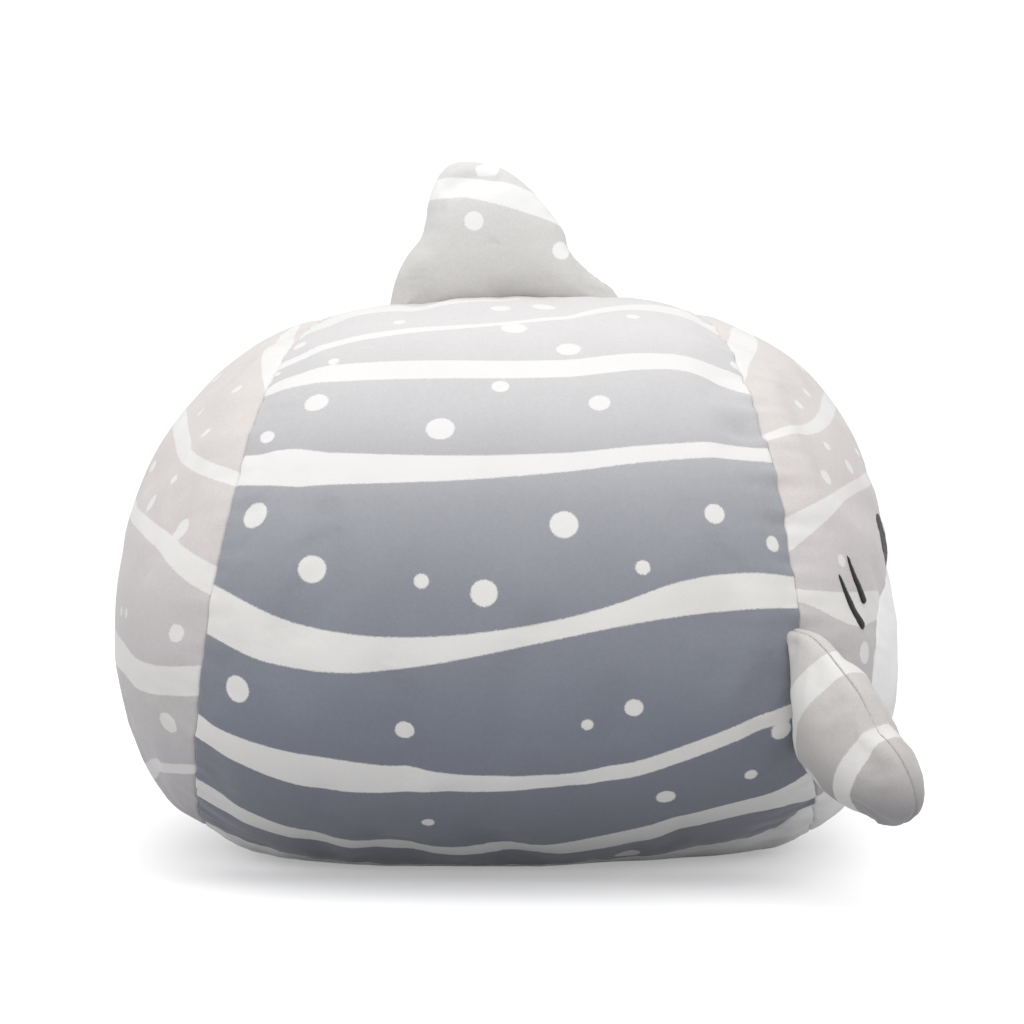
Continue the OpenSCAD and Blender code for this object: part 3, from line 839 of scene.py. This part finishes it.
def seam_thread(name, line, normal):
    """Sewing thread deep in a seam, slightly waisted at every stitch."""
    line = resample(np.concatenate([line, normal], 1), THREAD_STEP)
    line, normal = line[:, :3], line[:, 3:]
    size = THREAD_R * (0.92 + 0.08 * stitch_wave(len(line)))
    sunk = line - normal * THREAD_DEPTH
    return tube(name + "_stitches", sunk, normal, size, size, SEAM_THREAD, "seam_thread", name, THREAD_SIDES)


def body_threads():
    trims = {"front": 2, "rear": 2, "top": 3, "belly_right": 4, "belly_left": 4, "muzzle": 4}
    names = {"belly_right": "belly_seam_thread_right", "belly_left": "belly_seam_thread_left"}
    for key, line in SEAMS.items():
        line = line[trims[key]:-trims[key]]
        normal = outward(line)
        seam_thread(names.get(key, key + "_seam_thread"), surfaced(line, normal), normal)


SATIN_STEP, SATIN_PITCH, SATIN_HEIGHT = 0.12, 0.55, 0.07


def satin(run):
    """Ridges of satin stitching along a run of millimetres."""
    return 1 + SATIN_HEIGHT * np.sin(2 * np.pi * run / SATIN_PITCH)


def face_patch(y, z):
    """Points on the nose end and their outward directions."""
    point = on_end(disc_at(y, z), 1)
    beside = on_end(disc_at(np.asarray(y) + 0.5, z), 1) - point
    above = on_end(disc_at(y, np.asarray(z) + 0.5), 1) - point
    normal = np.cross(beside, above)
    return point, normal / np.linalg.norm(normal, axis=-1, keepdims=True)


def embroidered_line(name, lines, widths, material, slot, node):
    """Satin-stitched strokes on the face; each line is (y, z) points, with its widths from start to end."""
    for number, line in enumerate(lines, 1):
        fine = resample(smooth_rows(line), SATIN_STEP)
        run = np.arange(len(fine)) * SATIN_STEP
        point, normal = face_patch(fine[:, 0], fine[:, 1])
        share = run / run[-1]
        width = np.interp(share, np.linspace(0, 1, len(widths)), widths) * satin(run)
        blunt = np.sqrt(np.clip(1 - np.clip((run - run[-1]) / widths[-1] * 2 + 1, 0, 1) ** 2, 0.02, 1))
        sharp = np.sqrt(np.clip(run / widths[0], 0.02, 1))
        half = width / 2 * blunt * sharp
        real = surfaced(point, normal, 0.1)
        tube(f"{name}_{number}", real, normal, half, half * 0.6, material, slot, node)


def embroidered_spot(name, y, z, width, height, thick, lift, material, slot, node):
    """A satin-stitched oval on the face, with its ridges running across it."""
    share = np.sin(np.radians(np.linspace(0, 90, 22)))[1:]
    turn = np.linspace(0, 2 * np.pi, 96, endpoint=False)
    py = y + np.outer(share, np.cos(turn)) * width / 2
    pz = z + np.outer(share, np.sin(turn)) * height / 2
    point, normal = face_patch(py, pz)
    rise = thick * (1 - share[:, None] ** 2.6) ** 0.5 * (0.94 + 0.06 * np.sin(2 * np.pi * pz / 0.9))
    real = surfaced(point, normal, lift + rise - 0.15)
    middle, up = face_patch(y, z)
    top = surfaced(middle[None], up[None], lift + thick - 0.15)
    points = np.concatenate([real.reshape(-1, 3), top])
    rows, columns = real.shape[:2]
    faces = grid_faces(rows, columns, wrap=True, flip=True)
    faces += fan(columns, rows * columns)
    return place(new_mesh(name, points, faces), "body", material, slot, node)


EYE_Y, EYE_Z, EYE_W, EYE_H = 60.0, 121.0, 14.0, 20.5
GILLS = [[(117, 113), (116.5, 106), (114.5, 99), (111.5, 93.5)], [(109.5, 119), (108.5, 112), (106, 102)]]
MOUTH = [(-32, 92), (-16, 86), (0, 84), (16, 86), (32, 92)]


def face_embroidery():
    for side, name in ((-1, "right"), (1, "left")):
        embroidered_spot("eye_" + name + "_satin", side * EYE_Y, EYE_Z, EYE_W, EYE_H, 0.8, 0,
                         BLACK_THREAD, "black_thread", "eye_" + name)
        embroidered_spot("eye_" + name + "_glint", side * (EYE_Y - 2.5), EYE_Z + 4, 4, 5, 0.4, 0.6,
                         WHITE_THREAD, "white_thread", "eye_highlights")
        gills = [[(side * y, z) for y, z in line] for line in GILLS]
        embroidered_line("gill_" + name, gills, (1.2, 2.8, 3.4),
                         BLACK_THREAD, "black_thread", "gill_stitches_" + name)
    embroidered_line("mouth", [MOUTH], (1.5, 1.9, 1.5), BLACK_THREAD, "black_thread", "mouth_stitch")


def closing_stitches():
    """Hand stitches over the left belly seam, where the stuffing went in."""
    angle = np.linspace(-2, 2, 21)
    for number, x in enumerate(range(-60, -29, 6), 1):
        line = body_point(540 - BELLY_SEAM + angle, x / HALF_L)
        normal = outward(line)
        arc = 0.9 * np.cos(np.radians(angle * 45)) - 0.2
        real = surfaced(line, normal) + normal * arc[:, None]
        size = np.full(len(line), 0.4)
        tube(f"closing_stitch_{number}", real, normal, size, size,
             WHITE_THREAD, "white_thread", "closing_stitches")


body_threads()
face_embroidery()
closing_stitches()


# ---------- fins ----------
JOINTS = {joint["name"]: joint for joint in frame["record"]["behaviour"]["joints"]}
FIN_ROLL = 1.1


def depth_in_body(points):
    """Above zero inside the body's smooth form and below zero outside it."""
    q = disc_at(points[..., 1], points[..., 2])
    u = np.degrees(np.arctan2(q[..., 1], q[..., 0]))
    return girth(u, points[..., 0] / HALF_L) - np.hypot(q[..., 0], q[..., 1])


class Fin:
    """A stuffed fin. In its plane a runs along the root and o out of it, in mm from the root's centre."""

    def __init__(self, joint, along, out, line, centre, half_t, blunt, sunk):
        self.root = np.array(JOINTS[joint]["pos_m"]) / MM
        self.along, self.out = np.array(along, float), np.array(out, float)
        self.across = np.cross(self.along, self.out)
        self.centre, self.half_t, self.blunt, self.sunk = np.array(centre, float), half_t, blunt, sunk
        self.sewn = self.with_root(line)
        self.outline = self.closed()

    def place(self, a, o, t=0.0):
        a, o, t = np.broadcast_arrays(a, o, t)
        return self.root + a[..., None] * self.along + o[..., None] * self.out + t[..., None] * self.across

    def reach_body(self, a):
        """How far out of the root the body's surface lies in the fin's plane."""
        low, high = np.full(np.shape(a), -30.0), np.full(np.shape(a), 12.0)
        for _ in range(30):
            middle = (low + high) / 2
            inside = depth_in_body(self.place(np.asarray(a, float), middle)) > 0
            low, high = np.where(inside, middle, low), np.where(inside, high, middle)
        return low - self.sunk

    def with_root(self, line):
        """The sewn edge, run down to the body at both ends."""
        first, last = line[0][0], line[-1][0]
        ends = self.reach_body(np.array([first, last]))
        rows = smooth_rows([(first, ends[0])] + list(line[1:-1]) + [(last, ends[1])])
        return resample(rows, 1.2)

    def closed(self):
        a = np.linspace(self.sewn[-1][0], self.sewn[0][0], 70)[1:-1]
        return np.concatenate([self.sewn, np.stack([a, self.reach_body(a)], -1)])


def softened(loop, share):
    """A closed line averaged over a share of its points on each side, which rounds its corners."""
    reach = max(1, int(len(loop) * share))
    total = sum(np.roll(loop, k, 0) for k in range(-reach, reach + 1))
    return total / (2 * reach + 1)


def fin_rings(fin, side):
    """Rings of one face from its middle to its edge, as (a, o, t); the inner ones are rounder."""
    swell = np.radians(np.concatenate([[1.5], np.arange(4, 80, 4.0), np.arange(80, 90, 2.5)]))
    roll = np.radians([0, 22, 45, 67, 90])
    share = np.concatenate([np.sin(swell) ** fin.blunt, np.ones(len(roll))])
    domed = FIN_ROLL + (fin.half_t - FIN_ROLL) * np.cos(swell)
    height = np.concatenate([domed, FIN_ROLL * (1 - np.sin(roll))])
    tuck = np.concatenate([np.zeros(len(swell)), FIN_ROLL * (1 - np.cos(roll))])
    arm = fin.outline - fin.centre
    inner = softened(fin.outline, 0.09) - fin.centre
    arms = mix(inner[None], arm[None], (share ** 5)[:, None, None])
    length = np.linalg.norm(arm, axis=1)
    plane = fin.centre + arms * (share[:, None, None] - (tuck[:, None] / length[None])[..., None])
    thick = np.broadcast_to((side * height)[:, None, None], (*plane.shape[:2], 1))
    return np.concatenate([plane, thick], -1)


def fin_cloth(fin, name):
    """The stuffed fin as one form of cloth, held at its sewn edge and its root."""
    front = fin_rings(fin, 1)[::3]
    rings = np.concatenate([front[:, ::3], fin_rings(fin, -1)[::-3][:, ::3]])
    grid = fin.place(rings[..., 0], rings[..., 1], 0.9 * rings[..., 2])
    ends = [fin.place(*fin.centre, side * 0.9 * fin.half_t) for side in (1, -1)]
    points = np.concatenate([grid.reshape(-1, 3), ends])
    faces = closed_faces(*rings.shape[:2])
    edge = fin.place(*fin.outline.T)

    def hold(at):
        away, _ = nearest(at, edge)
        return np.exp(-(away / 3) ** 2)

    start, moved = billow(name, points, faces, 3.0, hold, 2.5, 0.03)
    return start, moved, tree_of(start)


def fin_face(name, fin, side, cloth, nodes, stripes, dots, dents, mirrored, shade_span):
    rings = fin_rings(fin, side)
    plane = rings * [1, 1, 0]
    sewn = np.concatenate([fin.sewn, np.zeros((len(fin.sewn), 1))], 1)
    edge_away, edge_place = nearest(plane, sewn)
    wave = 0.35 * ripple(edge_place, 3 + side) * np.exp(-edge_away / 6) * np.clip(edge_away / 2, 0, 1)
    for a, o, radius, size in dents:
        wave += size * np.exp(-((rings[..., 0] - a) ** 2 + (rings[..., 1] - o) ** 2) / radius ** 2)
    rings[..., 2] += side * wave * np.clip(edge_away / 3, 0, 1)
    grid = fin.place(*np.moveaxis(rings, -1, 0))
    grid = grid + carried(grid, cloth, 3.0)
    top = fin.place(*fin.centre, side * fin.half_t)[None]
    top = top + carried(top, cloth, 3.0)
    flat = np.concatenate([grid.reshape(-1, 3), top])
    plane = np.concatenate([plane.reshape(-1, 3), [[*fin.centre, 0]]])
    marks = ink(plane, stripes, dots, lambda a, o: np.stack(np.broadcast_arrays(a, o, 0.0), -1))
    # The share of the span's height at each point, which the fin plush turns into painted shade low down and
    # painted light up high.
    height_share = np.clip((flat[:, 2] - shade_span[0]) / (shade_span[1] - shade_span[0]), 0, 1)
    rows, columns = rings.shape[:2]
    turned = (side > 0) != mirrored
    faces = grid_faces(rows, columns, wrap=True, flip=not turned)
    faces += [face[::-1] if turned else face for face in fan(columns, rows * columns)]
    if mirrored:
        flat = mirror_y(flat)
    obj = new_mesh(name, flat, faces, {"ink": marks, "height_share": height_share})
    obj.data.materials.append(FIN_PLUSH)
    sew_on(obj, fin, mirrored)
    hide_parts(*nodes)
    return obj


BEND_FROM, BEND_TO = 0.0, 14.0


def sew_on(obj, fin, mirrored):
    """Works out the fin's root and a point further out, and bakes the piece's transform into its points."""
    start, end = fin.place(0.0, BEND_FROM), fin.place(0.0, BEND_TO)
    if mirrored:
        start, end = mirror_y(start), mirror_y(end)
    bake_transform(obj)


def fin_seam(name, fin, cloth, node, mirrored):
    """Thread in the groove between a fin's two faces."""
    arm = fin.sewn - fin.centre
    inner = fin.sewn - arm / np.linalg.norm(arm, axis=1, keepdims=True) * (FIN_ROLL - 0.35)
    line = fin.place(inner[:, 0], inner[:, 1])
    line = line + carried(line, cloth, 3.0)
    line = resample(line, THREAD_STEP)
    size = FIN_THREAD_R * (0.8 + 0.35 * stitch_wave(len(line)))
    if mirrored:
        line = mirror_y(line)
    across = fin.across * (np.array([1, -1, 1]) if mirrored else 1)
    rings = strand_rings(line, across, size, size, THREAD_SIDES)
    obj = new_mesh(name, rings.reshape(-1, 3), grid_faces(len(line), THREAD_SIDES, wrap=True))
    obj.data.materials.append(FIN_THREAD)
    sew_on(obj, fin, mirrored)
    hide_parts(node)


DORSAL_LINE = [
    (-43, 0), (-40.5, 3), (-36.5, 12.5), (-30.7, 20.3), (-28.6, 27), (-27.3, 34.5), (-24, 43.4), (-18, 49),
    (-8.5, 49.4), (2, 46.3), (11.5, 39), (19.5, 29.8), (24, 23), (26.3, 15.8), (32.8, 8.6), (38.2, 4.2),
    (43.2, 0.4), (49, 0),
]
DORSAL_STRIPES = [
    [(-34, 38, 7.4), (-25.6, 38.7, 7.6), (-14, 39.6, 8.2), (-2, 37.4, 8.8), (10, 33.8, 8.3),
     (20, 30.6, 8), (30, 27, 9)],
    [(-7.4, 46.3, 4.2), (-5.2, 46.5, 4.5), (-3, 46.3, 4.2)],
]
DORSAL_DOTS = [(-9.9, 26.6, 7.2), (22.3, 15.9, 6.7)]
SIDE_FIN_LINE = [
    (-21, 0), (-26.5, 5), (-29.5, 20), (-29.5, 37), (-26.3, 50), (-20, 58.3), (-12.5, 62.3), (-5.2, 61),
    (0.5, 56.5), (4.5, 50), (6.5, 42), (11, 37), (16.5, 31), (21.5, 20), (25, 10), (26, 1), (23, 0),
]
SIDE_FIN_STRIPES = [
    [(-28, 0, 9), (-14, 2.5, 11), (0, 6.5, 11.5), (10, 11.5, 11.5), (17, 15.3, 11.5), (26, 20, 10)],
    [(-34, 28, 7), (-19, 34.7, 7.2), (-9, 39, 8), (0, 41.8, 7.8), (9, 43.8, 6)],
]
SIDE_FIN_DOTS = [(-19, 17.6, 9.5)]
SWEEP, DROOP = 30.0, 18.0


def dorsal_fin():
    fin = Fin("dorsal_fin_lean", (1, 0, 0), (0, 0, 1), DORSAL_LINE, (-3, 19), 14.5, 0.8, 6.0)
    cloth = fin_cloth(fin, "dorsal_cloth")
    dents = [(-30, 21, 8, -1.0), (26, 17, 8, -1.2), (-6, 8, 16, 1.0)]
    # The heights over which the dorsal fin's painted shade changes.
    span = (fin.root[2] - 150, fin.root[2] + 40)
    for side, name in ((-1, "right"), (1, "left")):
        nodes = [f"dorsal_fin_{name}_face"] + (["dorsal_fin_stuffing"] if side < 0 else [])
        fin_face(f"dorsal_fin_{name}_plush", fin, side, cloth, nodes,
                 DORSAL_STRIPES, DORSAL_DOTS, dents, False, span)
    fin_seam("dorsal_fin_stitches", fin, cloth, "dorsal_fin_edge_seam", False)


def pectoral_fins():
    axis = np.array(JOINTS["pectoral_fin_right_flap"]["axis"])
    out = (cos_d(DROOP) * sin_d(SWEEP), -cos_d(DROOP) * cos_d(SWEEP), -sin_d(DROOP))
    fin = Fin("pectoral_fin_right_flap", axis, out, SIDE_FIN_LINE, (-6, 26), 14.0, 0.95, 2.5)
    cloth = fin_cloth(fin, "side_fin_cloth")
    dents = [(8, 40, 9, -2.5), (18, 0, 12, -1.8)]
    for mirrored, name in ((False, "right"), (True, "left")):
        for side, face in ((1, "front"), (-1, "rear")):
            hidden = [f"pectoral_fin_{name}_stuffing"] if side < 0 else []
            nodes = [f"pectoral_fin_{name}_{face}_face"] + hidden
            # The side fins' painted shade changes over heights 25 to 165 mm.
            fin_face(f"pectoral_fin_{name}_{face}_plush", fin, side, cloth, nodes,
                     SIDE_FIN_STRIPES, SIDE_FIN_DOTS, dents, mirrored, (25, 165))
        fin_seam(f"pectoral_fin_{name}_stitches", fin, cloth,
                 f"pectoral_fin_{name}_edge_seam", mirrored)


dorsal_fin()
pectoral_fins()


# ---------- studio ----------
def look_at(obj, target):
    direction = np.array(target) - np.array(obj.location)
    obj.rotation_euler = Vector(direction).to_track_quat("-Z", "Y").to_euler()


# The camera stands on an arc round ARC_HEIGHT; distances in metres, the lens and the sensor in mm.
CAMERA_DISTANCE, CAMERA_RISE, ARC_HEIGHT = 1.4, 4, 0.108
AIM = (0.0023, 0, 0.1285)
LENS, SENSOR_W = 128.5, 36


def camera():
    data = bpy.data.cameras.new("camera")
    data.sensor_width = SENSOR_W
    data.lens = LENS
    obj = bpy.data.objects.new("camera", data)
    rise = math.radians(CAMERA_RISE)
    back, up = CAMERA_DISTANCE * math.cos(rise), CAMERA_DISTANCE * math.sin(rise)
    obj.location = (0, -back, ARC_HEIGHT + up)
    look_at(obj, AIM)
    bpy.context.scene.collection.objects.link(obj)
    bpy.context.scene.camera = obj


def soft_light(name, location, target, size, power):
    data = bpy.data.lights.new(name, "AREA")
    data.shape = "RECTANGLE"
    data.size, data.size_y = size
    data.energy = power
    obj = bpy.data.objects.new(name, data)
    obj.location = location
    look_at(obj, target)
    bpy.context.scene.collection.objects.link(obj)


# The floor and the curve behind it in mm, and how strong each light is.
FLOOR_FRONT, FLOOR_HALF_W, CURVE_FROM, CURVE_R = 4000, 5000, 1500, 3500
FLOOR_GLOW = 0.32
AMBIENT, TOP_POWER, FRONT_POWER = 0.82, 9.5, 4.5


def studio():
    """A pale floor that curves up into a backdrop, under one broad top light and a weak front light."""
    n = Nodes("studio_floor")
    pale = n.blend(n.noise(40, 2), rgb((250, 250, 250)), rgb((253, 253, 253)))
    n.feed(n.shader.inputs["Base Color"], pale)
    n.shader.inputs["Roughness"].default_value = 0.9
    n.shader.inputs["Specular IOR Level"].default_value = 0.1
    n.shader.inputs["Emission Color"].default_value = (1, 1, 1, 1)
    n.shader.inputs["Emission Strength"].default_value = FLOOR_GLOW
    bounce = n.add("ShaderNodeBsdfDiffuse", Color=(0.6, 0.6, 0.61, 1))
    seen = n.add("ShaderNodeLightPath").outputs["Is Camera Ray"]
    output = n.tree.nodes["Material Output"]
    either = n.add("ShaderNodeMixShader", _0=seen, _1=bounce.outputs[0], _2=n.shader.outputs[0])
    n.feed(output.inputs["Surface"], either.outputs[0])
    curve = [(CURVE_FROM + CURVE_R * sin_d(a), CURVE_R - CURVE_R * cos_d(a)) for a in range(0, 91, 6)]
    profile = [(-FLOOR_FRONT, 0)] + curve
    points = [(x, y, z) for y, z in profile for x in (-FLOOR_HALF_W, FLOOR_HALF_W)]
    floor = new_mesh("floor", points, grid_faces(len(profile), 2))
    floor.data.materials.append(n.material)
    world = bpy.data.worlds.new("studio")
    world.use_nodes = True
    nodes, links = world.node_tree.nodes, world.node_tree.links
    seen = nodes.new("ShaderNodeLightPath").outputs["Is Camera Ray"]
    strength = nodes.new("ShaderNodeMapRange")
    strength.inputs["To Min"].default_value = AMBIENT
    strength.inputs["To Max"].default_value = 1.0
    links.new(seen, strength.inputs["Value"])
    links.new(strength.outputs[0], nodes["Background"].inputs["Strength"])
    nodes["Background"].inputs["Color"].default_value = (1, 1, 1, 1)
    bpy.context.scene.world = world
    soft_light("top_light", (-0.1, -0.35, 1.5), (0, 0, 0.1), (1.8, 1.5), TOP_POWER)
    soft_light("front_light", (-0.3, -2.2, 0.7), (0, 0, 0.12), (1.6, 1.0), FRONT_POWER)
    bpy.context.scene.view_settings.view_transform = "Standard"


camera()
studio()
